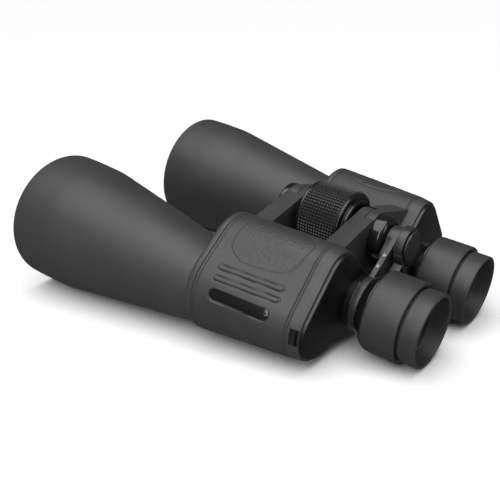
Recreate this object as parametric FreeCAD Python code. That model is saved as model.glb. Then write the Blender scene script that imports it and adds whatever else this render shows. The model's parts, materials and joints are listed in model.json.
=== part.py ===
import FreeCAD, Part
import math
import os

# Porro-prism binoculars, millimetres.
# The user looks along +Y, +X is the user's right hand and +Z is up.
# The hinge axis is the Y axis. The origin is the mouth of the tripod socket in the hinge's front cap.
# The left half is modelled at negative X, and the right half is its mirror image.

os.makedirs("parts", exist_ok=True)

# ---- driving dimensions: optical axes ----
OBJECTIVE_X = 62.2          # objective axis, out from the hinge axis
OBJECTIVE_Z = -29.7
EYEPIECE_X = 28.24          # eyepiece axis, at an eye distance of 56.5
EYEPIECE_Z = -25.4

# ---- named clearances ----
RUN = 0.06                  # radial clearance of a running fit
SLIDE = 0.09                # radial clearance of a sliding fit
GAP = 0.35                  # free gap between bodies that move past each other
THROUGH = 300.0             # far enough to cut a bore right through

# ---- prism housing ----
ARM_SETBACK = 1.0           # how far the front arm stands ahead of the housing
ARM_OVERHANG = 0.5          # how far the rear arm reaches past the armour
BAND_LENGTH = 6.3           # rear band, behind the armour
ARMOUR = 2.0                # rubber thickness
HOUSING_WALL = 2.5
REAR_BAND_TAPER = 1.2
FRONT_WALL = 3.0
# The outline is the belt round three circles, at the front and at the rear. One is round the eyepiece axis.
# The others are (x, z, radius): the outer one from the objective axis, the top one from the axis between the prisms.
OUTER_FRONT = (1.4, 2.1, 26.2)
OUTER_REAR = (1.4, 0.7, 18.1)
TOP_FRONT = (-2.93, -0.53, 20.2)
TOP_REAR = (1.87, 3.27, 15.7)
INNER_RADIUS = 16.5         # round the eyepiece axis, front and rear

# ---- front flange and rear cover ----
FLANGE_LENGTH = 5.0
FLANGE_CHAMFER = 1.5
COVER_THICKNESS = 2.0
COVER_INSET = 2.6
PLUG_DEPTH = 1.5
PLUG_GAP = 0.4

# ---- objective tube ----
SPIGOT_RADIUS = 18.0
SPIGOT_DEPTH = 8.0
SPIGOT_WALL = 2.2
CONE_REAR_RADIUS = 22.4
CONE_LENGTH = 95.6
HOOD_REAR_RADIUS = 38.2
HOOD_FRONT_RADIUS = 39.0
HOOD_LENGTH = 28.8
HOOD_LAND = 10.0            # straight stretch at the front, for a push-on cap
TUBE_WALL = 1.7
LENS_RADIUS = 35.0
CELL_LENGTH = 14.0
CELL_SETBACK = 4.0          # cell's rear face, ahead of the end of the cone
CELL_LIP = 1.5
CROWN_EDGE = 4.5
FLINT_EDGE = 3.5
LENS_FRONT_CURVE = 190.0
LENS_MIDDLE_CURVE = 160.0
RETAINER_LENGTH = 3.0
RETAINER_SEAT = 0.3         # clear of the crown lens's bulge at the lip

# ---- prisms ----
PRISM_HALF_WIDTH = 11.0
PRISM_TRIM = 1.5            # ground off the prism's apex
SHELF_SETBACK = 29.3        # shelf's front face, behind the housing's front
SHELF_THICKNESS = 3.0
APERTURE_RADIUS = 10.0
CLIP_WIDTH = 6.0
CLIP_THICKNESS = 0.5

# ---- hinge ----
CAP_THICKNESS = 3.4
FRONT_ARM_Y = -3.7
ARM_LENGTH = 11.0
WINDOW = 33.5               # between the front arm and the rear arm
RING_RADIUS = 12.4
RING_RELIEF = 0.7           # room round each ring in the other half's arm
AXLE_RADIUS = 4.5
AXLE_REACH = 6.0            # how far each axle reaches into the focus wheel
ARM_ROOT = (-40.0, -10.0)
SOCKET_RADIUS = 2.6         # tapped hole for a 1/4 inch tripod screw
SOCKET_DEPTH = 10.0
BOSS_RADIUS = 12.0
BOSS_LENGTH = 7.7
WASHER = 0.25

# ---- focus wheel ----
WHEEL_SETBACK = 3.3         # wheel's front face, behind the front arm
WHEEL_LENGTH = 26.1
WHEEL_RADIUS = 18.8
GRIP_THICKNESS = 1.5
GRIP_RIM = 1.6
COLLAR_RADIUS = 15.0
COLLAR_LENGTH = 2.2
HUB_RADIUS = 9.5

# ---- focus rod and bridge ----
ROD_RADIUS = 3.0
ROD_INSIDE_WHEEL = 20.0
LEFT_RING_RADIUS = 8.2
LEFT_RING_LENGTH = 6.0
RIGHT_RING_RADIUS = 10.0
RIGHT_RING_LENGTH = 4.6
BRIDGE_START = 0.5          # behind the boss
BLADE_THICKNESS = 5.2
RIGHT_BLADE = 2.5
THICK_SHARE = 0.27          # of the way to the eyepiece
BLADE_ROD_RADIUS = 7.6      # half the blade's width at the rod
BLADE_EYE_RADIUS = 11.2     # and at the eyepiece
CAP_RADIUS = 8.6
CAP_LENGTH = 1.3
CAP_DOME = 0.9
EYE_RING_RADIUS = 15.2
EYE_RING_SETBACK = 6.0      # bridge's eyepiece rings start this far behind the housing
LEFT_EYE_RING_LENGTH = 3.8
GUIDE_GAUGE = 0.8
GUIDE_GAP = 1.0             # between the band guide and the ring that it lies under
GUIDE_WIDTH = 5.0
GUIDE_END = 1.6             # the half ring stops this far from the centre line
SCREW_RADIUS = 0.9
SCREW_LENGTH = 3.0
SCREW_PROUD = 0.3
SCREW_PLACES = (13.0, 20.0)  # along the blade, from the rod

# ---- eyepieces ----
GUIDE_RADIUS = 14.3
GUIDE_INNER = 13.2
GUIDE_INSIDE = 7.0          # how far the guide tube reaches into the housing
EYE_TUBE_WALL = 1.6
EYE_TUBE_INSIDE = 5.5
EYE_TUBE_LENGTH = 35.7
SLEEVE_SETBACK = 10.4       # behind the front of the bridge's eyepiece ring
SLEEVE_LENGTH = 18.8
SLEEVE_RADIUS = 21.6
SLEEVE_THICKNESS = 1.4
RING_WALL = 3.0
CONE_FRONT_RADIUS = 16.0
DIOPTRE_TRAVEL = 1.8        # each way
EYECUP_RADIUS = 19.5
EYECUP_WALL = 1.8
EYECUP_LENGTH = 10.15
BARREL_WALL = 1.2
BARREL_PROUD = 1.8          # how far the lens barrel reaches past the sleeve
EYE_LENS_EDGE = 3.0
FIELD_LENS_EDGE = 2.5
EYE_LENS_CURVE = 28.0

# ---- trim ----
BADGE_FRONT = (-17.4, -19.4)   # y and z of the middle of each round end
BADGE_REAR = (-44.4, -21.0)
BADGE_RADIUS = 2.9
BADGE_RECESS = 0.3
LUG_INSET = 2.6             # from the housing's rear edge to the strap lug's middle
LUG_Z = -27.5
LUG_LENGTH = 9.0
LUG_WIDTH = 5.0
LUG_DEPTH = 3.2
LUG_BAR_RADIUS = 0.8
LUG_BAR_INSET = 1.9

# ---- places worked out from the values above ----
EYE = (-EYEPIECE_X, EYEPIECE_Z)
OBJECTIVE = (-OBJECTIVE_X, OBJECTIVE_Z)
HALF_STEP = ((EYE[0] - OBJECTIVE[0]) / 2, (EYE[1] - OBJECTIVE[1]) / 2)
PRISM_AXIS = (OBJECTIVE[0] + HALF_STEP[0] - HALF_STEP[1], OBJECTIVE[1] + HALF_STEP[1] + HALF_STEP[0])
REAR_ARM_Y = FRONT_ARM_Y - ARM_LENGTH - WINDOW
HOUSING_FRONT_Y = FRONT_ARM_Y - ARM_SETBACK
HOUSING_BAND_Y = REAR_ARM_Y - ARM_LENGTH + ARM_OVERHANG
HOUSING_REAR_Y = HOUSING_BAND_Y - BAND_LENGTH
SHELF_FRONT_Y = HOUSING_FRONT_Y - SHELF_SETBACK
LUG_Y = HOUSING_REAR_Y + LUG_INSET
EYE_RING_START = HOUSING_REAR_Y - EYE_RING_SETBACK
GUIDE_FRONT_Y = HOUSING_REAR_Y + GUIDE_INSIDE
EYE_TUBE_FRONT_Y = HOUSING_REAR_Y + EYE_TUBE_INSIDE
EYE_TUBE_REAR_Y = EYE_TUBE_FRONT_Y - EYE_TUBE_LENGTH
SLEEVE_FRONT_Y = EYE_RING_START - SLEEVE_SETBACK
SLEEVE_REAR_Y = SLEEVE_FRONT_Y - SLEEVE_LENGTH
EYECUP_REAR_Y = SLEEVE_REAR_Y - EYECUP_LENGTH
BARREL_REAR_Y = SLEEVE_REAR_Y - BARREL_PROUD
BOSS_FRONT_Y = REAR_ARM_Y - ARM_LENGTH - GAP
BOSS_REAR_Y = BOSS_FRONT_Y - BOSS_LENGTH
WHEEL_FRONT_Y = FRONT_ARM_Y - ARM_LENGTH - WHEEL_SETBACK
WHEEL_REAR_Y = WHEEL_FRONT_Y - WHEEL_LENGTH
LEFT_RING_Y = BOSS_REAR_Y - BRIDGE_START
LEFT_RING_REAR_Y = LEFT_RING_Y - LEFT_RING_LENGTH
RIGHT_RING_Y = LEFT_RING_REAR_Y - GAP
LEFT_EYE_RING_REAR_Y = EYE_RING_START - LEFT_EYE_RING_LENGTH
RIGHT_BLADE_REAR_Y = RIGHT_RING_Y - RIGHT_BLADE
CAP_FRONT_Y = RIGHT_RING_Y - RIGHT_RING_LENGTH - GAP
CONE_REAR_Y = HOUSING_FRONT_Y + FLANGE_LENGTH
HOOD_REAR_Y = CONE_REAR_Y + CONE_LENGTH
HOOD_FRONT_Y = HOOD_REAR_Y + HOOD_LENGTH
CELL_REAR_Y = HOOD_REAR_Y - CELL_SETBACK
CELL_RADIUS = HOOD_REAR_RADIUS - TUBE_WALL
SHELF_REAR_Y = SHELF_FRONT_Y - SHELF_THICKNESS
EYE_TUBE_RADIUS = GUIDE_INNER - SLIDE
BARREL_RADIUS = EYE_TUBE_RADIUS - EYE_TUBE_WALL - SLIDE


# ---- small helpers ----

def vec(x, y, z):
    return FreeCAD.Vector(x, y, z)


def cyl(radius, y_front, y_rear, at=(0.0, 0.0)):
    """A cylinder along Y between two Y values, on the axis at (x, z)."""
    return Part.makeCylinder(radius, y_front - y_rear, vec(at[0], y_rear, at[1]), vec(0, 1, 0))


def tube(outer, inner, y_front, y_rear, at=(0.0, 0.0)):
    return cyl(outer, y_front, y_rear, at).cut(cyl(inner, y_front + 1, y_rear - 1, at))


def turned(points, at=(0.0, 0.0)):
    """Turns a closed outline of (radius, y) points about the axis at (x, z)."""
    corners = [vec(at[0] + r, y, at[1]) for r, y in points]
    face = Part.Face(Part.makePolygon(corners + corners[:1]))
    return face.revolve(vec(at[0], 0, at[1]), vec(0, 1, 0), 360)


def box(x0, x1, y0, y1, z0, z1):
    return Part.makeBox(x1 - x0, y1 - y0, z1 - z0, vec(x0, y0, z0))


def belt(circles, y):
    """The closed outline of a belt round circles (x, z, radius), listed clockwise with X right and Z up."""
    spans = []
    for i, (x0, z0, r0) in enumerate(circles):
        x1, z1, r1 = circles[(i + 1) % len(circles)]
        reach = math.hypot(x1 - x0, z1 - z0)
        heading = math.atan2(z1 - z0, x1 - x0)
        normal = heading + math.acos((r0 - r1) / reach)
        cos, sin = math.cos(normal), math.sin(normal)
        spans.append((normal, vec(x0 + r0 * cos, y, z0 + r0 * sin), vec(x1 + r1 * cos, y, z1 + r1 * sin)))
    edges = []
    for i, (normal, start, end) in enumerate(spans):
        before, _, arc_start = spans[i - 1]
        turn = (before - normal) % (2 * math.pi)
        middle = normal + turn / 2
        x, z, r = circles[i]
        top = vec(x + r * math.cos(middle), y, z + r * math.sin(middle))
        edges.append(Part.Arc(arc_start, top, start).toShape())
        edges.append(Part.LineSegment(start, end).toShape())
    return Part.Wire(edges)


def capsule(first, second, radius_first, radius_second, y_front, y_rear):
    """A plate between two Y values whose outline is a belt round two circles."""
    wire = belt([first + (radius_first,), second + (radius_second,)], y_rear)
    return Part.Face(wire).extrude(vec(0, y_front - y_rear, 0))


def outline_circles(y, offset):
    """The housing's three circles at a Y, moved in (negative) or out by an offset."""
    share = (y - HOUSING_FRONT_Y) / (HOUSING_BAND_Y - HOUSING_FRONT_Y)
    share = min(max(share, 0.0), 1.0)
    circles = []
    for axis, front, rear in ((OBJECTIVE, OUTER_FRONT, OUTER_REAR), (PRISM_AXIS, TOP_FRONT, TOP_REAR)):
        x, z, r = [a + (b - a) * share for a, b in zip(front, rear)]
        circles.append((axis[0] + x, axis[1] + z, r + offset))
    circles.append(EYE + (INNER_RADIUS + offset,))
    return circles


def housing_loft(y_front, y_rear, offset_front, offset_rear):
    wires = [belt(outline_circles(y, o), y) for y, o in ((y_front, offset_front), (y_rear, offset_rear))]
    return Part.makeLoft(wires, True, True)


def lens(radius, y_front, edge, curve_front, curve_rear, at):
    """A lens: positive curves bulge forwards at the front and backwards at the rear. None is flat."""
    def sag(curve):
        return 0.0 if curve is None else math.copysign(abs(curve) - math.sqrt(curve ** 2 - radius ** 2), curve)

    def half_sag(curve):
        half = radius / 2
        return math.copysign(abs(curve) - math.sqrt(curve ** 2 - half ** 2), curve)

    x, z = at
    y_rear = y_front - edge
    front_tip = vec(x, y_front + sag(curve_front), z)
    rear_tip = vec(x, y_rear - sag(curve_rear), z)
    front_rim = vec(x + radius, y_front, z)
    rear_rim = vec(x + radius, y_rear, z)

    def face_edge(tip, rim, curve, way):
        if curve is None:
            return Part.LineSegment(tip, rim).toShape()
        middle = vec(x + radius / 2, tip.y - way * half_sag(curve), z)
        return Part.Arc(tip, middle, rim).toShape()

    wire = Part.Wire([
        face_edge(front_tip, front_rim, curve_front, 1),
        Part.LineSegment(front_rim, rear_rim).toShape(),
        face_edge(rear_tip, rear_rim, curve_rear, -1),
        Part.LineSegment(rear_tip, front_tip).toShape(),
    ])
    return Part.Face(wire).revolve(vec(x, 0, z), vec(0, 1, 0), 360)


# ---- hinge arms, which belong to the housings ----

def arm(y_front, own_front, bore):
    """One hinge arm. Half its length is this half's ring, and the rest is cut back for the other half's ring."""
    y_rear = y_front - ARM_LENGTH
    y_middle = (y_front + y_rear) / 2
    plate = capsule(ARM_ROOT, (0.0, 0.0), RING_RADIUS, RING_RADIUS, y_front, y_rear)
    relief = RING_RADIUS + RING_RELIEF
    if own_front:
        plate = plate.cut(cyl(relief, y_middle + GAP / 2, y_rear - 1))
    else:
        plate = plate.cut(cyl(relief, y_front + 1, y_middle - GAP / 2))
    return plate.cut(cyl(bore, y_front + 1, y_rear - 1))


def housing(own_front, bore):
    body = housing_loft(HOUSING_FRONT_Y, HOUSING_BAND_Y, -ARMOUR, -ARMOUR)
    band = housing_loft(HOUSING_BAND_Y, HOUSING_REAR_Y, 0.0, -REAR_BAND_TAPER)
    body = body.fuse(band)
    body = body.fuse(arm(FRONT_ARM_Y, own_front, bore))
    body = body.fuse(arm(REAR_ARM_Y, not own_front, bore))
    inset = -(ARMOUR + HOUSING_WALL)
    body = body.cut(housing_loft(HOUSING_FRONT_Y - FRONT_WALL, HOUSING_BAND_Y, inset, inset))
    body = body.cut(housing_loft(HOUSING_BAND_Y, HOUSING_REAR_Y - 1, inset, inset))
    body = body.cut(cyl(SPIGOT_RADIUS, HOUSING_FRONT_Y + 1, HOUSING_FRONT_Y - FRONT_WALL - 1, OBJECTIVE))
    body = body.cut(cyl(GUIDE_RADIUS, GUIDE_FRONT_Y, HOUSING_REAR_Y - 1, EYE))
    return body.cut(lug_recess()).removeSplitter()


def armour():
    shell = housing_loft(HOUSING_FRONT_Y, HOUSING_BAND_Y, 0.0, 0.0)
    shell = shell.cut(housing_loft(HOUSING_FRONT_Y, HOUSING_BAND_Y, -ARMOUR, -ARMOUR))
    for y_front in (FRONT_ARM_Y, REAR_ARM_Y):
        y_rear = y_front - ARM_LENGTH
        shell = shell.cut(capsule(ARM_ROOT, (0.0, 0.0), RING_RADIUS, RING_RADIUS, y_front, y_rear))
    solids = sorted(shell.cut(badge_prism(BADGE_RADIUS)).Solids, key=lambda solid: solid.Volume)
    return solids[-1]


def badge_prism(radius):
    """A stadium in the YZ plane, pushed through the outer wall of the left housing."""
    x_out = OBJECTIVE[0] + OUTER_FRONT[0] - OUTER_FRONT[2] - 5
    x_in = OBJECTIVE[0] + OUTER_REAR[0]
    (y0, z0), (y1, z1) = BADGE_FRONT, BADGE_REAR
    tilt = math.atan2(z1 - z0, y1 - y0)
    dy, dz = -radius * math.sin(tilt), radius * math.cos(tilt)
    oy, oz = radius * math.cos(tilt), radius * math.sin(tilt)
    points = [vec(x_out, y0 + dy, z0 + dz), vec(x_out, y1 + dy, z1 + dz), vec(x_out, y1 + oy, z1 + oz),
              vec(x_out, y1 - dy, z1 - dz), vec(x_out, y0 - dy, z0 - dz), vec(x_out, y0 - oy, z0 - oz)]
    wire = Part.Wire([
        Part.LineSegment(points[0], points[1]).toShape(),
        Part.Arc(points[1], points[2], points[3]).toShape(),
        Part.LineSegment(points[3], points[4]).toShape(),
        Part.Arc(points[4], points[5], points[0]).toShape(),
    ])
    return Part.Face(wire).extrude(vec(x_in - x_out, 0, 0))


def badge():
    plate = housing_loft(HOUSING_FRONT_Y, HOUSING_BAND_Y, -BADGE_RECESS, -BADGE_RECESS)
    plate = plate.cut(housing_loft(HOUSING_FRONT_Y, HOUSING_BAND_Y, -ARMOUR, -ARMOUR))
    return plate.common(badge_prism(BADGE_RADIUS)).Solids[0]


def lug_left_x():
    """The rear band's outermost X at the strap lug."""
    x, _, r = outline_circles(HOUSING_BAND_Y, 0.0)[0]
    return x - r


def lug_recess():
    x = lug_left_x()
    return box(x - 2, x + LUG_DEPTH, LUG_Y - LUG_WIDTH / 2, LUG_Y + LUG_WIDTH / 2,
               LUG_Z - LUG_LENGTH / 2, LUG_Z + LUG_LENGTH / 2)


def strap_bar():
    x = lug_left_x() + LUG_BAR_INSET
    return Part.makeCylinder(LUG_BAR_RADIUS, LUG_LENGTH, vec(x, LUG_Y, LUG_Z - LUG_LENGTH / 2), vec(0, 0, 1))


def front_flange():
    chamfer_y = CONE_REAR_Y - FLANGE_CHAMFER
    wide = outline_circles(HOUSING_FRONT_Y, 0.0)
    narrow = outline_circles(HOUSING_FRONT_Y, -FLANGE_CHAMFER)
    plate = Part.makeLoft([belt(wide, HOUSING_FRONT_Y), belt(wide, chamfer_y)], True, True)
    plate = plate.fuse(Part.makeLoft([belt(wide, chamfer_y), belt(narrow, CONE_REAR_Y)], True, True))
    plate = plate.cut(cyl(SPIGOT_RADIUS, CONE_REAR_Y + 1, HOUSING_FRONT_Y - 1, OBJECTIVE))
    arm_room = capsule(ARM_ROOT, (0.0, 0.0), RING_RADIUS, RING_RADIUS, CONE_REAR_Y + 1, HOUSING_FRONT_Y)
    return plate.cut(arm_room).removeSplitter()


def rear_cover():
    circles = outline_circles(HOUSING_BAND_Y, -COVER_INSET)
    rear_y = HOUSING_REAR_Y - COVER_THICKNESS
    plate = Part.makeLoft([belt(circles, HOUSING_REAR_Y), belt(circles, rear_y)], True, True)
    plug_circles = outline_circles(HOUSING_BAND_Y, -(ARMOUR + HOUSING_WALL + PLUG_GAP))
    plug_front = HOUSING_REAR_Y + PLUG_DEPTH
    plate = plate.fuse(Part.makeLoft([belt(plug_circles, plug_front), belt(plug_circles, HOUSING_REAR_Y)], True, True))
    return plate.cut(cyl(GUIDE_RADIUS, plug_front + 1, rear_y - 1, EYE)).removeSplitter()


# ---- objective tube and its lenses ----

def objective_tube():
    inner_cone = SPIGOT_RADIUS - SPIGOT_WALL
    spigot_y = CONE_REAR_Y - SPIGOT_DEPTH
    shoulder = CELL_RADIUS - CELL_LIP
    return turned([
        (inner_cone, spigot_y), (SPIGOT_RADIUS, spigot_y), (SPIGOT_RADIUS, CONE_REAR_Y),
        (CONE_REAR_RADIUS, CONE_REAR_Y), (HOOD_REAR_RADIUS, HOOD_REAR_Y),
        (HOOD_FRONT_RADIUS, HOOD_FRONT_Y - HOOD_LAND), (HOOD_FRONT_RADIUS, HOOD_FRONT_Y),
        (HOOD_FRONT_RADIUS - TUBE_WALL, HOOD_FRONT_Y), (CELL_RADIUS, CELL_REAR_Y + CELL_LENGTH + RETAINER_LENGTH),
        (CELL_RADIUS, CELL_REAR_Y), (shoulder, CELL_REAR_Y), (inner_cone, CONE_REAR_Y),
    ], OBJECTIVE)


def lens_cell():
    lip = LENS_RADIUS - CELL_LIP
    front = CELL_REAR_Y + CELL_LENGTH
    return turned([
        (lip, CELL_REAR_Y), (CELL_RADIUS, CELL_REAR_Y), (CELL_RADIUS, front),
        (LENS_RADIUS, front), (LENS_RADIUS, CELL_REAR_Y + CELL_LIP), (lip, CELL_REAR_Y + CELL_LIP),
    ], OBJECTIVE)


def flint_lens():
    front = CELL_REAR_Y + CELL_LIP + FLINT_EDGE
    return lens(LENS_RADIUS, front, FLINT_EDGE, -LENS_MIDDLE_CURVE, None, OBJECTIVE)


def crown_lens():
    front = CELL_REAR_Y + CELL_LIP + FLINT_EDGE + CROWN_EDGE
    return lens(LENS_RADIUS, front, CROWN_EDGE, LENS_FRONT_CURVE, LENS_MIDDLE_CURVE, OBJECTIVE)


def retaining_ring():
    front = CELL_REAR_Y + CELL_LENGTH
    lens_front = CELL_REAR_Y + CELL_LIP + FLINT_EDGE + CROWN_EDGE + RETAINER_SEAT
    lip = LENS_RADIUS - CELL_LIP
    return turned([
        (lip, lens_front), (LENS_RADIUS, lens_front), (LENS_RADIUS, front), (CELL_RADIUS, front),
        (CELL_RADIUS, front + RETAINER_LENGTH), (lip, front + RETAINER_LENGTH),
    ], OBJECTIVE)


# ---- prisms ----

def prism(start, end, hypotenuse_y, way):
    """A right-angle prism with round ends between two axes. Its apex points along way (+1 is forwards)."""
    step = math.hypot(end[0] - start[0], end[1] - start[1])
    half = step / 2 + PRISM_HALF_WIDTH
    depth = half - PRISM_TRIM
    ux, uz = (end[0] - start[0]) / step, (end[1] - start[1]) / step
    mx, mz = (start[0] + end[0]) / 2, (start[1] + end[1]) / 2
    corners = []
    for along, deep in ((-half, 0), (half, 0), (PRISM_TRIM, depth), (-PRISM_TRIM, depth)):
        x = mx + ux * along + uz * PRISM_HALF_WIDTH * 1.5
        z = mz + uz * along - ux * PRISM_HALF_WIDTH * 1.5
        corners.append(vec(x, hypotenuse_y + way * deep, z))
    face = Part.Face(Part.makePolygon(corners + corners[:1]))
    wedge = face.extrude(vec(-uz * PRISM_HALF_WIDTH * 3, 0, ux * PRISM_HALF_WIDTH * 3))
    y_ends = sorted((hypotenuse_y, hypotenuse_y + way * depth))
    round_ends = capsule(start, end, PRISM_HALF_WIDTH, PRISM_HALF_WIDTH, y_ends[1], y_ends[0])
    return wedge.common(round_ends)


def prism_front():
    return prism(PRISM_AXIS, EYE, SHELF_FRONT_Y, 1)


def prism_rear():
    return prism(OBJECTIVE, PRISM_AXIS, SHELF_REAR_Y, -1)


def prism_shelf():
    inset = -(ARMOUR + HOUSING_WALL)
    cavity = housing_loft(HOUSING_FRONT_Y - FRONT_WALL, HOUSING_BAND_Y, inset, inset)
    far = OBJECTIVE_X * 2
    plate = cavity.common(box(-far, 0, SHELF_REAR_Y, SHELF_FRONT_Y, -far, far))
    for at in (OBJECTIVE, PRISM_AXIS, EYE):
        plate = plate.cut(cyl(APERTURE_RADIUS, SHELF_FRONT_Y + 1, SHELF_REAR_Y - 1, at))
    return plate


def prism_clip(start, end, hypotenuse_y, way):
    """A flat spring strap over a prism's apex, with two legs down to the shelf."""
    step = math.hypot(end[0] - start[0], end[1] - start[1])
    depth = step / 2 + PRISM_HALF_WIDTH - PRISM_TRIM
    ux, uz = (end[0] - start[0]) / step, (end[1] - start[1]) / step
    mx, mz = (start[0] + end[0]) / 2, (start[1] + end[1]) / 2
    outer = PRISM_HALF_WIDTH + CLIP_THICKNESS
    y_top = hypotenuse_y + way * (depth + CLIP_THICKNESS)

    def bar(half_across, y_far):
        """A bar across the prism, half_across each way, from the shelf to y_far."""
        points = []
        for along, across in ((-1, -1), (1, -1), (1, 1), (-1, 1)):
            x = mx + ux * along * CLIP_WIDTH / 2 - uz * across * half_across
            z = mz + uz * along * CLIP_WIDTH / 2 + ux * across * half_across
            points.append(vec(x, hypotenuse_y, z))
        face = Part.Face(Part.makePolygon(points + points[:1]))
        return face.extrude(vec(0, y_far - hypotenuse_y, 0))

    return bar(outer, y_top).cut(bar(PRISM_HALF_WIDTH, hypotenuse_y + way * depth))


def prism_clips():
    front = prism_clip(PRISM_AXIS, EYE, SHELF_FRONT_Y, 1)
    rear = prism_clip(OBJECTIVE, PRISM_AXIS, SHELF_REAR_Y, -1)
    return Part.makeCompound([front, rear])


# ---- eyepieces ----

def guide_tube():
    return tube(GUIDE_RADIUS, GUIDE_INNER, GUIDE_FRONT_Y, EYE_RING_START + GAP, EYE)


def eyepiece_tube():
    return tube(EYE_TUBE_RADIUS, EYE_TUBE_RADIUS - EYE_TUBE_WALL, EYE_TUBE_FRONT_Y, EYE_TUBE_REAR_Y, EYE)


def eyepiece_ring(front_y):
    """The ring behind the bridge arm: a cone, a hollow drum under the rubber, and a web to the lens barrel."""
    outer = SLEEVE_RADIUS - SLEEVE_THICKNESS
    bore = EYE_TUBE_RADIUS + SLIDE
    web_y = EYE_TUBE_REAR_Y - DIOPTRE_TRAVEL - GAP
    return turned([
        (bore, front_y), (CONE_FRONT_RADIUS, front_y), (outer, SLEEVE_FRONT_Y), (outer, SLEEVE_REAR_Y),
        (BARREL_RADIUS + RUN, SLEEVE_REAR_Y), (BARREL_RADIUS + RUN, web_y), (outer - RING_WALL, web_y),
        (outer - RING_WALL, SLEEVE_FRONT_Y - RING_WALL), (bore, SLEEVE_FRONT_Y - RING_WALL),
    ], EYE)


def sleeve():
    return tube(SLEEVE_RADIUS, SLEEVE_RADIUS - SLEEVE_THICKNESS, SLEEVE_FRONT_Y, SLEEVE_REAR_Y, EYE)


def eyecup():
    inner = EYECUP_RADIUS - EYECUP_WALL
    return turned([
        (BARREL_RADIUS + 1.0, SLEEVE_REAR_Y), (EYECUP_RADIUS, SLEEVE_REAR_Y), (EYECUP_RADIUS, EYECUP_REAR_Y),
        (inner, EYECUP_REAR_Y), (inner - 1.5, SLEEVE_REAR_Y - EYECUP_WALL),
        (BARREL_RADIUS + 1.0, SLEEVE_REAR_Y - EYECUP_WALL),
    ], EYE)


def ocular_barrel():
    """The lens barrel. Its flange behind the ring's web keeps it in place."""
    inner = BARREL_RADIUS - BARREL_WALL
    seat = inner - 1.0
    eye_seat = BARREL_REAR_Y + EYE_LENS_EDGE
    field_seat = EYE_TUBE_FRONT_Y - 4.0
    return turned([
        (seat, field_seat - FIELD_LENS_EDGE), (inner, field_seat - FIELD_LENS_EDGE), (inner, field_seat),
        (BARREL_RADIUS, field_seat), (BARREL_RADIUS, BARREL_REAR_Y),
        (inner, BARREL_REAR_Y), (inner, eye_seat), (seat, eye_seat),
    ], EYE)


def eye_lens():
    radius = BARREL_RADIUS - BARREL_WALL
    return lens(radius, BARREL_REAR_Y + EYE_LENS_EDGE, EYE_LENS_EDGE, None, EYE_LENS_CURVE * 3, EYE)


def field_lens():
    radius = BARREL_RADIUS - BARREL_WALL
    return lens(radius, EYE_TUBE_FRONT_Y - 4.0, FIELD_LENS_EDGE, EYE_LENS_CURVE, None, EYE)


# ---- bridge ----

def toward_eye(share):
    return (EYE[0] * share, EYE[1] * share)


def blade(radius_rod, radius_end, end, y_front, y_rear):
    return capsule((0.0, 0.0), end, radius_rod, radius_end, y_front, y_rear)


def left_bridge_arm():
    ring = cyl(LEFT_RING_RADIUS, LEFT_RING_Y, LEFT_RING_REAR_Y)
    thick = blade(BLADE_ROD_RADIUS, BLADE_ROD_RADIUS - 0.6, toward_eye(THICK_SHARE),
                  LEFT_RING_REAR_Y + BLADE_THICKNESS, LEFT_RING_REAR_Y)
    thin = blade(BLADE_ROD_RADIUS, BLADE_EYE_RADIUS, EYE, EYE_RING_START, LEFT_RING_REAR_Y)
    eye_ring = cyl(EYE_RING_RADIUS, EYE_RING_START, LEFT_EYE_RING_REAR_Y, EYE)
    body = ring.fuse(thick).fuse(thin).fuse(eye_ring)
    return body.cut(bridge_bores(ROD_RADIUS)).removeSplitter()


def right_bridge_arm():
    ring = cyl(RIGHT_RING_RADIUS, RIGHT_RING_Y, RIGHT_RING_Y - RIGHT_RING_LENGTH)
    thick = blade(BLADE_ROD_RADIUS, BLADE_ROD_RADIUS - 0.6, toward_eye(THICK_SHARE),
                  RIGHT_RING_Y, RIGHT_RING_Y - RIGHT_RING_LENGTH)
    thin = blade(BLADE_ROD_RADIUS, BLADE_EYE_RADIUS, EYE, RIGHT_RING_Y, RIGHT_BLADE_REAR_Y)
    eye_ring = cyl(EYE_RING_RADIUS, EYE_RING_START, RIGHT_BLADE_REAR_Y, EYE)
    body = ring.fuse(thick).fuse(thin).fuse(eye_ring)
    return body.cut(bridge_bores(ROD_RADIUS + RUN)).removeSplitter()


def bridge_bores(rod_bore):
    return cyl(rod_bore, 0, -THROUGH).fuse(cyl(EYE_TUBE_RADIUS, 0, -THROUGH, EYE))


def bridge_screws(y):
    """Two set screws let into the blade's upper edge, their heads a little proud."""
    reach = math.hypot(*EYE)
    ux, uz = EYE[0] / reach, EYE[1] / reach
    screws = []
    for along in SCREW_PLACES:
        half_width = BLADE_ROD_RADIUS + (BLADE_EYE_RADIUS - BLADE_ROD_RADIUS) * along / reach
        out = half_width - SCREW_LENGTH + SCREW_PROUD
        start = vec(ux * along + uz * out, y, uz * along - ux * out)
        screws.append(Part.makeCylinder(SCREW_RADIUS, SCREW_LENGTH, start, vec(uz, 0, -ux)))
    return screws


def bridge_and_screws(side):
    """The bridge arm with two screws let into it."""
    if side == "left":
        arm_shape, y = left_bridge_arm(), (EYE_RING_START + LEFT_RING_REAR_Y) / 2
    else:
        arm_shape, y = right_bridge_arm(), (RIGHT_RING_Y + RIGHT_BLADE_REAR_Y) / 2
    screws = Part.makeCompound(bridge_screws(y))
    return arm_shape.cut(screws), screws


def focus_rod():
    return cyl(ROD_RADIUS, WHEEL_REAR_Y + ROD_INSIDE_WHEEL, CAP_FRONT_Y)


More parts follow.
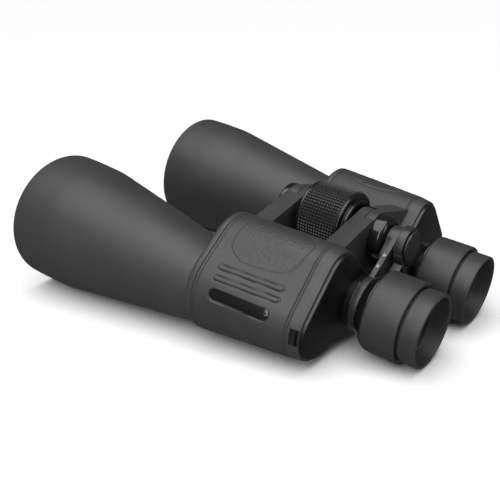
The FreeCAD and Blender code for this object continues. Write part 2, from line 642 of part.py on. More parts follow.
def rod_cap():
    """The domed cap that closes the end of the rod."""
    rear = CAP_FRONT_Y - CAP_LENGTH
    disc = cyl(CAP_RADIUS, CAP_FRONT_Y, rear)
    ball = (CAP_RADIUS ** 2 + CAP_DOME ** 2) / (2 * CAP_DOME)
    dome = Part.makeSphere(ball, vec(0, rear - CAP_DOME + ball, 0))
    dome = dome.common(cyl(CAP_RADIUS, rear, rear - CAP_DOME))
    return disc.fuse(dome).removeSplitter()


def band_guide():
    """A thin quarter ring under the bridge's right ring, with a strip down to the left eyepiece ring."""
    inner = RIGHT_RING_RADIUS + GUIDE_GAP
    outer = inner + GUIDE_GAUGE
    front = LEFT_EYE_RING_REAR_Y - GAP
    rear = front - GUIDE_WIDTH
    cradle = tube(outer, inner, front, rear)
    cradle = cradle.common(box(-outer - 1, -GUIDE_END, rear - 1, front + 1, -outer - 1, -GUIDE_END))
    reach = math.hypot(*EYE)
    strip = box(inner + GUIDE_GAUGE / 2, reach - CONE_FRONT_RADIUS + 2, rear, front, -GUIDE_GAUGE / 2, GUIDE_GAUGE / 2)
    strip.rotate(vec(0, 0, 0), vec(0, 1, 0), -math.degrees(math.atan2(EYE[1], EYE[0])))
    cone = turned([
        (0, front + 5), (CONE_FRONT_RADIUS, LEFT_EYE_RING_REAR_Y + 5),
        (CONE_FRONT_RADIUS, LEFT_EYE_RING_REAR_Y),
        (SLEEVE_RADIUS - SLEEVE_THICKNESS, SLEEVE_FRONT_Y), (0, SLEEVE_FRONT_Y),
    ], EYE)
    return cradle.fuse(strip.cut(cone)).removeSplitter()


# ---- hinge and focus drive ----

def hinge_front_axle():
    """The front cap and axle in one piece, with the tripod socket in its front face."""
    rear = FRONT_ARM_Y - ARM_LENGTH - WHEEL_SETBACK - AXLE_REACH
    body = cyl(RING_RADIUS, 0, -CAP_THICKNESS).fuse(cyl(AXLE_RADIUS, 0, rear))
    return body.cut(cyl(SOCKET_RADIUS, 1, -SOCKET_DEPTH)).removeSplitter()


def hinge_rear_bush():
    """The rear boss and hollow axle in one piece. The focus rod slides through it."""
    front = WHEEL_REAR_Y + AXLE_REACH
    boss = turned([
        (0, BOSS_FRONT_Y), (BOSS_RADIUS, BOSS_FRONT_Y), (BOSS_RADIUS, BOSS_REAR_Y + 1.5),
        (BOSS_RADIUS - 1.5, BOSS_REAR_Y), (0, BOSS_REAR_Y),
    ])
    return boss.fuse(cyl(AXLE_RADIUS, front, BOSS_REAR_Y)).cut(cyl(ROD_RADIUS + RUN, 1, -THROUGH)).removeSplitter()


def hinge_washers():
    """Thin washers between the front cap and the right ring, and between the rear ring and the boss."""
    front = tube(RING_RADIUS - 1, AXLE_RADIUS, -CAP_THICKNESS, -CAP_THICKNESS - WASHER)
    rear = tube(RING_RADIUS - 1, AXLE_RADIUS, BOSS_FRONT_Y + WASHER, BOSS_FRONT_Y)
    return Part.makeCompound([front, rear])


def focus_wheel():
    """The wheel's core: a drum with two thin rims, a rear collar, and hubs that reach to the arms."""
    core = WHEEL_RADIUS - GRIP_THICKNESS
    front_stop = FRONT_ARM_Y - ARM_LENGTH - GAP
    rear_stop = REAR_ARM_Y + GAP
    collar_rear = WHEEL_REAR_Y - COLLAR_LENGTH
    body = cyl(core, WHEEL_FRONT_Y, WHEEL_REAR_Y)
    rim = WHEEL_RADIUS - 0.3
    body = body.fuse(cyl(rim, WHEEL_FRONT_Y, WHEEL_FRONT_Y - GRIP_RIM))
    body = body.fuse(cyl(rim, WHEEL_REAR_Y + GRIP_RIM, WHEEL_REAR_Y))
    body = body.fuse(tube(COLLAR_RADIUS, COLLAR_RADIUS - 2.5, WHEEL_REAR_Y, collar_rear))
    body = body.fuse(cyl(HUB_RADIUS, front_stop, rear_stop))
    body = body.cut(cyl(ROD_RADIUS + SLIDE, 1, -THROUGH))
    body = body.cut(cyl(AXLE_RADIUS + RUN, 1, WHEEL_FRONT_Y - AXLE_REACH - GAP))
    return body.cut(cyl(AXLE_RADIUS + RUN, WHEEL_REAR_Y + AXLE_REACH + GAP, -THROUGH)).removeSplitter()


def wheel_grip():
    return tube(WHEEL_RADIUS, WHEEL_RADIUS - GRIP_THICKNESS, WHEEL_FRONT_Y - GRIP_RIM, WHEEL_REAR_Y + GRIP_RIM)


# ---- write every node ----

def save(name, shape, side="left"):
    if side == "right":
        shape = shape.mirror(vec(0, 0, 0), vec(1, 0, 0))
    if not shape.isValid():
        print("not valid:", name)
    shape.exportStep("parts/" + name + ".step")


def both_sides():
    for side in ("left", "right"):
        bore = AXLE_RADIUS if side == "left" else AXLE_RADIUS + RUN
        cone_y = LEFT_EYE_RING_REAR_Y if side == "left" else RIGHT_BLADE_REAR_Y - DIOPTRE_TRAVEL - GAP
        arm_shape, screws = bridge_and_screws(side)
        shapes = {
            "housing": housing(side == "right", bore),
            "armour": armour(),
            "badge": badge(),
            "front_flange": front_flange(),
            "rear_cover": rear_cover(),
            "strap_bar": strap_bar(),
            "objective_tube": objective_tube(),
            "lens_cell": lens_cell(),
            "crown_lens": crown_lens(),
            "flint_lens": flint_lens(),
            "retaining_ring": retaining_ring(),
            "prism_front": prism_front(),
            "prism_rear": prism_rear(),
            "prism_shelf": prism_shelf(),
            "prism_clips": prism_clips(),
            "guide_tube": guide_tube(),
            "bridge_arm": arm_shape,
            "bridge_screws": screws,
            "eyepiece_tube": eyepiece_tube(),
            "eyepiece_ring": eyepiece_ring(cone_y),
            "eyepiece_sleeve": sleeve(),
            "eyecup": eyecup(),
            "ocular_barrel": ocular_barrel(),
            "eye_lens": eye_lens(),
            "field_lens": field_lens(),
        }
        for name, shape in shapes.items():
            save(side + "_" + name, shape, side)


def centre():
    save("hinge_front_axle", hinge_front_axle())
    save("hinge_rear_bush", hinge_rear_bush())
    save("hinge_washers", hinge_washers())
    save("focus_wheel", focus_wheel())
    save("wheel_grip", wheel_grip())
    save("focus_rod", focus_rod())
    save("rod_cap", rod_cap())
    save("band_guide", band_guide())


both_sides()
centre()
print("nodes written:", len(os.listdir("parts")))
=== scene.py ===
# %% [markdown]
# # Large Porro-prism binoculars
# The working model already gives every part its place, its size and its motion. This lesson builds the looks on it.
# Turned parts get round corners, the rubber armour gets its ribs and leather grain, and the wheel gets its knurl.
# The object's own axes are used all through: +Y forward, +X to the right, +Z up, and the hinge lies on the Y axis.

# %% load the fixed frame
import json
import math
import bmesh
import bpy
import numpy as np
from mathutils import Matrix, Vector, noise


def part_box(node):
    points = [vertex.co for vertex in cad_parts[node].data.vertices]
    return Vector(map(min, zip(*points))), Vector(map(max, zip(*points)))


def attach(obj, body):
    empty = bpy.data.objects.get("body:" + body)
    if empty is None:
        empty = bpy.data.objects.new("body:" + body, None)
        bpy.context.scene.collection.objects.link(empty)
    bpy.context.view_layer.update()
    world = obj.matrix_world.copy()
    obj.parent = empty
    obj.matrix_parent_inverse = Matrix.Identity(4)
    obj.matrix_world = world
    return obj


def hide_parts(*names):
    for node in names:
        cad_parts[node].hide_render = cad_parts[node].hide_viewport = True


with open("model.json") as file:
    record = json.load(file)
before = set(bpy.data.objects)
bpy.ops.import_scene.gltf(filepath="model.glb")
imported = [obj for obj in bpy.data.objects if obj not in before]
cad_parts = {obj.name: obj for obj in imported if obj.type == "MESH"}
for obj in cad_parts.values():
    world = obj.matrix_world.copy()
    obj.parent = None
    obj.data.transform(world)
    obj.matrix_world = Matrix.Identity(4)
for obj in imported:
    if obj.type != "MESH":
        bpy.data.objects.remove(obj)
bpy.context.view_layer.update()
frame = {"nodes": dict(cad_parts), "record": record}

MM = 0.001
print("pieces in the frame:", len(frame["nodes"]))

# %% [markdown]
# ## Reading sizes from the frame
# A refined piece must sit exactly where the plain one does. So its axis, radius and ends are read from the box of the
# plain piece, in millimetres, and only small things such as a corner's rounding are chosen here.

# %% sizes of a node
SIDES = ("left", "right")


def limits(node):
    """A node's lowest and highest corners in millimetres."""
    low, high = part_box(node)
    return low / MM, high / MM


def axis_of(node):
    low, high = limits(node)
    return ((low.x + high.x) / 2, (low.z + high.z) / 2)


def radius_of(node):
    low, high = limits(node)
    return (high.x - low.x) / 2


def front_of(node):
    return limits(node)[1].y


def rear_of(node):
    return limits(node)[0].y


print("objective axis", axis_of("left_objective_tube"), "hood radius", round(radius_of("left_objective_tube"), 2))

# %% [markdown]
# ## Making clean meshes
# Every new piece goes through one helper. It joins doubled points, turns all faces outwards, and marks an edge as sharp
# only where the surface really turns a corner, so round parts shade smoothly and flat parts stay crisp.

# %% the mesh helper
def tidy_mesh(mesh, sharp):
    work = bmesh.new()
    work.from_mesh(mesh)
    bmesh.ops.remove_doubles(work, verts=work.verts, dist=1e-6)
    bmesh.ops.recalc_face_normals(work, faces=work.faces)
    work.to_mesh(mesh)
    work.free()
    mesh.polygons.foreach_set("use_smooth", [True] * len(mesh.polygons))
    mesh.set_sharp_from_angle(angle=math.radians(sharp))


def new_piece(name, points, faces, sharp=38):
    """A mesh piece from points in millimetres."""
    mesh = bpy.data.meshes.new(name)
    mesh.from_pydata([Vector(p) * MM for p in points], [], faces)
    tidy_mesh(mesh, sharp)
    piece = bpy.data.objects.new(name, mesh)
    bpy.context.scene.collection.objects.link(piece)
    return piece


def stitch(rings, closed_path):
    """Quads between rings of point numbers. A ring may be one repeated number, at a pole."""
    faces = []
    followers = rings[1:] + (rings[:1] if closed_path else [])
    for ring, after in zip(rings, followers):
        for k in range(len(ring)):
            n = (k + 1) % len(ring)
            corners = list(dict.fromkeys((ring[k], ring[n], after[n], after[k])))
            if len(corners) > 2:
                faces.append(corners)
    return faces


# %% [markdown]
# ## Turned parts
# Tubes, rings, caps and eyecups are turned on a lathe or moulded round. Each one is an outline of corners, given as
# radius, place along the axis, and how far the corner is rounded. A small curve replaces each corner, because a dark
# part is mostly seen by the thin highlight along its edges. The outline is then turned about the axis.

# %% the lathe
CORNER_STEPS = 5


def rounded(corners):
    points = []
    for i, (r, y, cut) in enumerate(corners):
        here = Vector((r, y))
        if cut == 0:
            points.append(here)
            continue
        before = Vector(corners[i - 1][:2]) - here
        after = Vector(corners[(i + 1) % len(corners)][:2]) - here
        start = here + before.normalized() * min(cut, before.length * 0.49)
        end = here + after.normalized() * min(cut, after.length * 0.49)
        for k in range(CORNER_STEPS + 1):
            t = k / CORNER_STEPS
            points.append(start * (1 - t) ** 2 + here * 2 * t * (1 - t) + end * t ** 2)
    return points


def turn(name, corners, at, segments=144, sharp=38):
    points, rings = [], []
    for r, y in rounded(corners):
        if r < 1e-6:
            rings.append([len(points)] * segments)
            points.append((at[0], y, at[1]))
            continue
        rings.append(list(range(len(points), len(points) + segments)))
        for k in range(segments):
            a = 2 * math.pi * k / segments
            points.append((at[0] + r * math.cos(a), y, at[1] + r * math.sin(a)))
    return new_piece(name, points, stitch(rings, True), sharp)


# %% [markdown]
# ## A grain for every finish
# Moulded plastic, rubber and paint all have a fine texture and a slight unevenness. One shader group gives both: a fine
# height for bump, and a broad soft mask that varies colour and roughness. Each finish places it with its own sizes.

# %% the grain group
def grain_group():
    group = bpy.data.node_groups.new("fine_grain", "ShaderNodeTree")
    for label, kind in (("Vector", "NodeSocketVector"), ("Grain Scale", "NodeSocketFloat"),
                        ("Mottle Scale", "NodeSocketFloat")):
        group.interface.new_socket(label, in_out="INPUT", socket_type=kind)
    for label in ("Height", "Mottle"):
        group.interface.new_socket(label, in_out="OUTPUT", socket_type="NodeSocketFloat")
    start = group.nodes.new("NodeGroupInput")
    end = group.nodes.new("NodeGroupOutput")
    fine = group.nodes.new("ShaderNodeTexNoise")
    fine.inputs["Detail"].default_value = 3.0
    broad = group.nodes.new("ShaderNodeTexNoise")
    broad.inputs["Detail"].default_value = 4.0
    broad.inputs["Roughness"].default_value = 0.6
    for texture, scale in ((fine, "Grain Scale"), (broad, "Mottle Scale")):
        group.links.new(start.outputs["Vector"], texture.inputs["Vector"])
        group.links.new(start.outputs[scale], texture.inputs["Scale"])
    group.links.new(fine.outputs["Fac"], end.inputs["Height"])
    group.links.new(broad.outputs["Fac"], end.inputs["Mottle"])
    return group


GRAIN = grain_group()
print("shader group:", GRAIN.name)

# %% [markdown]
# ## Finishes
# Almost everything here is black, so the finishes differ in gloss and grain more than in colour. Each one mixes two
# close shades by the soft mask, lets the roughness drift a little with it, and takes its bump from the fine grain.

# %% the finish helper
def finish(name, dark, light, rough, grain_mm, depth_mm, mottle_mm=14.0, drift=0.06, **fixed):
    material = bpy.data.materials.new(name)
    material.use_nodes = True
    nodes, links = material.node_tree.nodes, material.node_tree.links
    shader = nodes["Principled BSDF"]
    coords = nodes.new("ShaderNodeTexCoord")
    grain = nodes.new("ShaderNodeGroup")
    grain.node_tree = GRAIN
    grain.inputs["Grain Scale"].default_value = 1 / (grain_mm * MM)
    grain.inputs["Mottle Scale"].default_value = 1 / (mottle_mm * MM)
    links.new(coords.outputs["Object"], grain.inputs["Vector"])
    shades = nodes.new("ShaderNodeMix")
    shades.data_type = "RGBA"
    shades.inputs["A"].default_value = (*dark, 1)
    shades.inputs["B"].default_value = (*light, 1)
    links.new(grain.outputs["Mottle"], shades.inputs["Factor"])
    links.new(shades.outputs["Result"], shader.inputs["Base Color"])
    spread = nodes.new("ShaderNodeMapRange")
    spread.inputs["From Min"].default_value = 0.3
    spread.inputs["From Max"].default_value = 0.7
    spread.inputs["To Min"].default_value = rough - drift
    spread.inputs["To Max"].default_value = rough + drift
    links.new(grain.outputs["Mottle"], spread.inputs["Value"])
    links.new(spread.outputs["Result"], shader.inputs["Roughness"])
    bump = nodes.new("ShaderNodeBump")
    bump.inputs["Distance"].default_value = depth_mm * MM
    links.new(grain.outputs["Height"], bump.inputs["Height"])
    links.new(bump.outputs["Normal"], shader.inputs["Normal"])
    for socket, value in fixed.items():
        shader.inputs[socket.replace("_", " ")].default_value = value
    return material


def grey(value):
    return (value, value, value * 1.04)


# %% the finishes
FINISHES = {
    "housing": finish("housing", grey(0.030), grey(0.040), 0.50, 0.35, 0.02),
    "armour_rubber": finish("armour_rubber", grey(0.026), grey(0.036), 0.52, 0.45, 0.03),
    "tube_paint": finish("tube_paint", grey(0.030), grey(0.037), 0.50, 0.40, 0.015, 30.0),
    "alloy_gloss": finish("alloy_gloss", grey(0.006), grey(0.009), 0.16, 0.6, 0.002, drift=0.03),
    "gloss_black": finish("gloss_black", grey(0.006), grey(0.009), 0.17, 0.6, 0.002, drift=0.03),
    "badge_black": finish("badge_black", grey(0.005), grey(0.008), 0.14, 0.8, 0.002, drift=0.03),
    "cover_black": finish("cover_black", grey(0.003), grey(0.005), 0.38, 0.4, 0.010, drift=0.05),
    "eyepiece_black": finish("eyepiece_black", grey(0.014), grey(0.020), 0.42, 0.35, 0.010),
    "eyepiece_rubber": finish("eyepiece_rubber", grey(0.024), grey(0.031), 0.50, 0.40, 0.015),
    "grip_rubber": finish("grip_rubber", grey(0.018), grey(0.026), 0.36, 0.30, 0.010),
    "steel": finish("steel", (0.10, 0.10, 0.11), (0.15, 0.15, 0.16), 0.30, 0.25, 0.005, Metallic=1.0),
    "alloy_black": finish("alloy_black", grey(0.018), grey(0.026), 0.40, 0.35, 0.010),
    "inner_black": finish("inner_black", grey(0.004), grey(0.007), 0.70, 0.30, 0.020),
    "spring_steel": finish("spring_steel", (0.35, 0.35, 0.37), (0.5, 0.5, 0.52), 0.30, 0.25, 0.005, Metallic=1.0),
    "optical_glass": finish("optical_glass", (0.70, 0.82, 0.78), (0.72, 0.84, 0.80), 0.03, 2.0, 0.0, drift=0.01,
                            Transmission_Weight=1.0, IOR=1.52, Coat_Weight=0.6, Coat_Roughness=0.02),
    "prism_glass": finish("prism_glass", (0.86, 0.92, 0.90), (0.88, 0.94, 0.92), 0.03, 2.0, 0.0, drift=0.01,
                          Transmission_Weight=1.0, IOR=1.57),
}
print("finishes:", len(FINISHES))

# %% dress the plain pieces and helpers for new ones
slot_of = {part["node"]: part["material_slot"] for part in frame["record"]["subparts"]}
body_of = {node: body for body, nodes in frame["record"]["behaviour"]["bodies"].items() for node in nodes}


def dress(piece, slot):
    piece.data.materials.clear()
    piece.data.materials.append(FINISHES[slot])


for node_name, node_object in frame["nodes"].items():
    for index in range(max(len(node_object.material_slots), 1)):
        if not node_object.material_slots:
            node_object.data.materials.append(FINISHES[slot_of[node_name]])
        node_object.material_slots[index].material = FINISHES[slot_of[node_name]]


def stand_in(piece, node):
    """The new piece takes over from the plain node: it joins its body, takes the finish of its slot, and the node is
    hidden.
    """
    dress(piece, slot_of[node])
    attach(piece, body_of[node])
    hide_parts(node)
    return piece


print("plain pieces dressed:", len(frame["nodes"]))

# %% [markdown]
# ## Objective tubes
# Each tube is a spun alloy cone that opens into a hood. The hood's front edge is a thin rounded lip, and the bend where
# the cone meets the hood is soft. Inside, shallow steps run down the cone to keep stray light off the image.

# %% the tubes
HOOD_LAND = 10.0
HOOD_LENGTH = 28.8
TUBE_WALL = 1.7
CONE_REAR = 22.4
HOOD_REAR = 38.2
SPIGOT_RADIUS = 18.0
SPIGOT_BORE = 15.8
CELL_SEAT = 1.5
LIP = 0.8


def objective_tube(side):
    node = side + "_objective_tube"
    cell = side + "_lens_cell"
    front, outer = front_of(node), radius_of(node)
    seat = radius_of(cell)
    flange = front_of(side + "_front_flange")
    spigot = rear_of(node)
    corners = [
        (CONE_REAR, flange, 0), (HOOD_REAR, front - HOOD_LENGTH, 5.0), (outer, front - HOOD_LAND, 3.0),
        (outer, front, LIP), (outer - TUBE_WALL, front, LIP), (seat, front_of(side + "_retaining_ring"), 0),
        (seat, rear_of(cell), 0), (seat - CELL_SEAT, rear_of(cell), 0),
        (SPIGOT_BORE, flange, 0), (SPIGOT_BORE, spigot, 0), (SPIGOT_RADIUS, spigot, 0), (SPIGOT_RADIUS, flange, 0),
    ]
    return turn(side + "_tube_and_hood", corners, axis_of(node), 192)


for side in SIDES:
    piece = stand_in(objective_tube(side), side + "_objective_tube")
    print(piece.name, len(piece.data.polygons), "faces")

# %% [markdown]
# ## The housing's outline
# The prism housing is a belt drawn tight round three circles: one round the objective side, one over the top and one
# round the eyepiece. It tapers towards the rear. The same outline, moved in or out, gives the armour, the flange
# and the rear cover, so they always fit each other.

# %% the belt outline
OUTER = ((-60.8, -27.6, 26.2), (-60.8, -29.0, 18.1))
TOP = ((-50.3, -11.1, 20.2), (-45.5, -7.3, 15.7))
INNER_RADIUS = 16.5
EYE = axis_of("left_eyecup")
ARMOUR_FRONT = front_of("left_armour")
ARMOUR_REAR = rear_of("left_armour")
ARMOUR_THICK = 2.0


def belt_circles(y, offset):
    share = min(max((y - ARMOUR_FRONT) / (ARMOUR_REAR - ARMOUR_FRONT), 0.0), 1.0)
    circles = []
    for front, rear in (OUTER, TOP):
        x, z, r = [a + (b - a) * share for a, b in zip(front, rear)]
        circles.append((x, z, r + offset))
    return circles + [(EYE[0], EYE[1], INNER_RADIUS + offset)]


def belt_points(y, offset, count):
    """Evenly spaced (x, z) points round the belt, from its outermost point up and over, and how far along each is."""
    circles = belt_circles(y, offset)
    stops = [math.pi]
    for i, (x0, z0, r0) in enumerate(circles):
        x1, z1, r1 = circles[(i + 1) % 3]
        heading = math.atan2(z1 - z0, x1 - x0)
        stops.append(heading + math.acos((r0 - r1) / math.hypot(x1 - x0, z1 - z0)))
    stops.append(math.pi)
    path = []
    for i in range(4):
        x, z, r = circles[i % 3]
        sweep = (stops[i] - stops[i + 1]) % (2 * math.pi)
        for k in range(49):
            a = stops[i] - sweep * k / 48
            path.append((x + r * math.cos(a), z + r * math.sin(a)))
    path = np.array(path)
    along = np.concatenate([[0], np.cumsum(np.hypot(*np.diff(path, axis=0).T))])
    places = np.linspace(0, along[-1], count, endpoint=False)
    return np.stack([np.interp(places, along, path[:, 0]), np.interp(places, along, path[:, 1])], 1), places


print("belt at the front:", round(belt_points(ARMOUR_FRONT, 0, 8)[1][-1] * 8 / 7, 1), "mm round")

# %% [markdown]
# ## The rubber armour
# The armour is one moulded sleeve. Its front and rear edges swell into a thin bright bead. On the outside it has a
# thumb pad with leather grain, two raised ribs and a shallow pocket for the badge. These are real shapes here: the
# sleeve is a fine grid, and each point is lifted or sunk along the surface by a height worked out from its place.

# %% the height of the armour's surface
RIBS = (((-76.0, -14.5, -8.1), (-70.2, -47.8, -9.7)), ((-80.1, -15.1, -12.5), (-74.1, -48.3, -14.2)))
RIB_HALF_WIDTH = 0.95
RIB_HEIGHT = 0.45
BADGE = ((-86.0, -17.4, -19.4), (-80.5, -44.4, -21.0))
BADGE_RADIUS = 2.9
BADGE_POCKET = 1.2
PAD = ((-66.9, -13.0, 0.3), (-70.2, -19.9, -3.9), (-70.1, -25.1, -4.8), (-67.3, -40.3, -5.0), (-63.7, -47.5, -2.4),
       (-58.1, -50.6, 3.2), (-48.0, -50.0, 8.0), (-42.0, -32.0, 7.5), (-46.0, -14.5, 9.0), (-56.8, -12.4, 7.6))
GROOVE_WIDTH = 0.5
GROOVE_DEPTH = 0.35
LEATHER_CELL = 1.5
LEATHER_DEPTH = 0.22


def on_skin(point):
    """A point near the left armour as (place along Y, distance round the belt)."""
    x, y, z = point
    outline, places = belt_points(y, 0, 900)
    return np.array((y, places[np.argmin(np.hypot(outline[:, 0] - x, outline[:, 1] - z))]))


def to_segment(spots, start, end):
    """Each spot's distance from the line between two places on the skin."""
    run = end - start
    share = np.clip(((spots - start) @ run) / (run @ run), 0, 1)
    return np.linalg.norm(spots - start - share[:, None] * run, axis=1)


def smooth_closed(knots, steps=8):
    """A smooth closed curve through the knots."""
    curve = []
    count = len(knots)
    for i in range(count):
        a, b, c, d = (knots[(i + k) % count] for k in (-1, 0, 1, 2))
        for k in range(steps):
            t = k / steps
            curve.append(0.5 * (2 * b + (c - a) * t + (2 * a - 5 * b + 4 * c - d) * t ** 2
                                + (3 * b - a - 3 * c + d) * t ** 3))
    return curve


def to_outline(spots, curve):
    """Each spot's distance from a closed curve, and whether it lies inside."""
    near = np.full(len(spots), 1e9)
    inside = np.zeros(len(spots), bool)
    for a, b in zip(curve, curve[1:] + curve[:1]):
        near = np.minimum(near, to_segment(spots, a, b))
        crosses = (a[1] > spots[:, 1]) != (b[1] > spots[:, 1])
        slope = (b[0] - a[0]) / ((b[1] - a[1]) or 1e-9)
        inside ^= crosses & (spots[:, 0] < a[0] + (spots[:, 1] - a[1]) * slope)
    return near, inside


def step_down(distance, edge, softness):
    """1 well below the edge, 0 well above it, with a smooth change between."""
    t = np.clip((edge + softness - distance) / (2 * softness), 0, 1)
    return t * t * (3 - 2 * t)


def armour_height(spots, points):
    height = np.zeros(len(spots))
    for start, end in RIBS:
        gap = to_segment(spots, on_skin(start), on_skin(end))
        height += RIB_HEIGHT * step_down(gap, RIB_HALF_WIDTH, 0.3)
        height -= GROOVE_DEPTH * step_down(abs(gap - RIB_HALF_WIDTH - 0.55), 0.25, 0.25)
    gap = to_segment(spots, on_skin(BADGE[0]), on_skin(BADGE[1]))
    height -= BADGE_POCKET * step_down(gap, BADGE_RADIUS + 0.35, 0.25)
    edge, inside = to_outline(spots, smooth_closed([on_skin(p) for p in PAD]))
    height -= GROOVE_DEPTH * step_down(edge, GROOVE_WIDTH, 0.3)
    pad = np.where(inside, np.clip((edge - GROOVE_WIDTH) / 1.2, 0, 1), 0.0)
    for i in np.nonzero(pad)[0]:
        spot = Vector(points[i]) / LEATHER_CELL
        spot += noise.noise_vector(spot * 0.7) * 0.6
        near = noise.voronoi(spot)[0]
        height[i] += pad[i] * LEATHER_DEPTH * (min(near[1] - near[0], 0.5) * 2 - 0.6)
    return height


# %% build the armour
AROUND = 480
ALONG = 130
BEAD = 0.45
BEAD_WIDTH = 1.0


def armour(side):
    ways = 1 if side == "left" else -1
    ys = np.linspace(ARMOUR_FRONT, ARMOUR_REAR, ALONG + 1)
    spots, points, outward = [], [], []
    for y in ys:
        xz, places = belt_points(y, 0, AROUND)
        along = np.roll(xz, -1, 0) - np.roll(xz, 1, 0)
        along /= np.linalg.norm(along, axis=1)[:, None]
        outward.append(np.stack([-along[:, 1], np.zeros(AROUND), along[:, 0]], 1))
        points.append(np.stack([xz[:, 0], np.full(AROUND, y), xz[:, 1]], 1))
        spots.append(np.stack([np.full(AROUND, y), places], 1))
    spots, points, outward = (np.concatenate(a) for a in (spots, points, outward))
    height = armour_height(spots, points)
    for edge_y in (ARMOUR_FRONT, ARMOUR_REAR):
        inwards = abs(points[:, 1] - edge_y)
        height -= 0.5 * step_down(inwards, 0.25, 0.3)
        height -= 0.45 * step_down(abs(inwards - BEAD_WIDTH - 0.55), 0.2, 0.25)
    points = points + outward * height[:, None]
    inner = []
    for y in (ARMOUR_REAR, ARMOUR_FRONT):
        xz, _ = belt_points(y, -ARMOUR_THICK, AROUND)
        inner.append(np.stack([xz[:, 0], np.full(AROUND, y), xz[:, 1]], 1))
    points = np.concatenate([points] + inner)
    points[:, 0] *= ways
    rings = [list(range(i * AROUND, (i + 1) * AROUND)) for i in range(ALONG + 3)]
    return new_piece(side + "_rubber_armour", points.tolist(), stitch(rings, True), 60)


for side in SIDES:
    piece = stand_in(armour(side), side + "_armour")
    print(piece.name, len(piece.data.polygons), "faces")

# %% [markdown]
# ## Flange and rear cover
# The front flange is a plate with a bevelled front edge, and the rear cover is a thin dark plate set into the housing.
# Both use the belt outline at several places along Y, moved in or out a little, so that their edges are round.

# %% plates from the belt outline
PLATE_AROUND = 300


def belt_plate(name, stations, ways):
    """A closed plate from (y, offset) outlines, ordered from front to rear."""
    points, rings = [], []
    for y, offset in stations:
        xz, _ = belt_points(y, offset, PLATE_AROUND)
        rings.append(list(range(len(points), len(points) + PLATE_AROUND)))
        points += [(ways * x, y, z) for x, z in xz]
    for ring, (y, _) in ((0, stations[0]), (-1, stations[-1])):
        middle = np.mean([points[i] for i in rings[ring]], axis=0)
        points.append(tuple(middle))
        pole = [len(points) - 1] * PLATE_AROUND
        rings = [pole] + rings if ring == 0 else rings + [pole]
    return new_piece(name, points, stitch(rings, False), 30)


for side, ways in zip(SIDES, (1, -1)):
    front, rear = front_of(side + "_front_flange"), rear_of(side + "_front_flange")
    flange = belt_plate(side + "_flange_plate", [
        (front, -2.1), (front - 0.15, -1.7), (front - 1.3, -0.45), (front - 1.9, -0.1), (front - 2.6, 0.0),
        (rear + 0.8, 0.0), (rear + 0.3, -0.1), (rear, -0.5)], ways)
    stand_in(flange, side + "_front_flange")
    cover_rear = rear_of(side + "_rear_cover")
    cover_edge = cover_rear + 2.0
    cover = belt_plate(side + "_cover_plate", [
        (cover_edge + 1.0, -2.6), (cover_rear + 0.7, -2.6), (cover_rear + 0.3, -2.75), (cover_rear + 0.1, -3.0),
        (cover_rear, -3.5)], ways)
    stand_in(cover, side + "_rear_cover")
    print(flange.name, cover.name)

# %% [markdown]
# ## Softer edges on cast parts
# The housing and the bridge arms have shapes that a lathe can't make. Their plain meshes are copied, joined up, and
# every hard edge gets a narrow bevel. A cast or moulded edge is never a knife edge, and the bevel is what catches light.

# %% the edge softener
def softened(name, node, width, segments=2, angle=40):
    mesh = frame["nodes"][node].data.copy()
    mesh.name = name
    work = bmesh.new()
    work.from_mesh(mesh)
    bmesh.ops.remove_doubles(work, verts=work.verts, dist=2e-6)
    bmesh.ops.dissolve_limit(work, angle_limit=math.radians(1), verts=work.verts, edges=work.edges)
    hard = [e for e in work.edges if len(e.link_faces) == 2 and e.calc_face_angle(0) > math.radians(angle)]
    bmesh.ops.bevel(work, geom=hard, offset=width * MM, segments=segments, profile=0.6, affect="EDGES",
                    clamp_overlap=True)
    bmesh.ops.triangulate(work, faces=[f for f in work.faces if len(f.verts) > 4])
    work.to_mesh(mesh)
    work.free()
    mesh.polygons.foreach_set("use_smooth", [True] * len(mesh.polygons))
    mesh.set_sharp_from_angle(angle=math.radians(28))
    if "custom_normal" in mesh.attributes:
        mesh.attributes.remove(mesh.attributes["custom_normal"])
    piece = bpy.data.objects.new(name, mesh)
    bpy.context.scene.collection.objects.link(piece)
    return piece


SOFTENED = (("housing", "prism_housing", 0.35), ("bridge_arm", "bridge", 0.3), ("badge", "name_badge", 0.25))
for side in SIDES:
    for node, name, width in SOFTENED:
        piece = stand_in(softened(side + "_" + name, side + "_" + node, width), side + "_" + node)
        print(piece.name, len(piece.data.polygons), "faces")
stand_in(softened("guide_band", "band_guide", 0.15), "band_guide")

# %% [markdown]
# ## Eyepieces
# From the housing back, each eyepiece is a polished guide tube, a black cone, a satin rubber sleeve, a narrow groove,
# and a hollow eyecup with a thin soft rim. Each is turned from its own outline.

# %% the eyepieces
SLEEVE_EDGE = 1.4
EYECUP_WALL = 1.8
EYECUP_LIP = 0.9
GUIDE_BORE = 13.2
EYEPIECE_BORE = 13.3
CUP_BORE = 13.0
CUP_STEP = 1.8


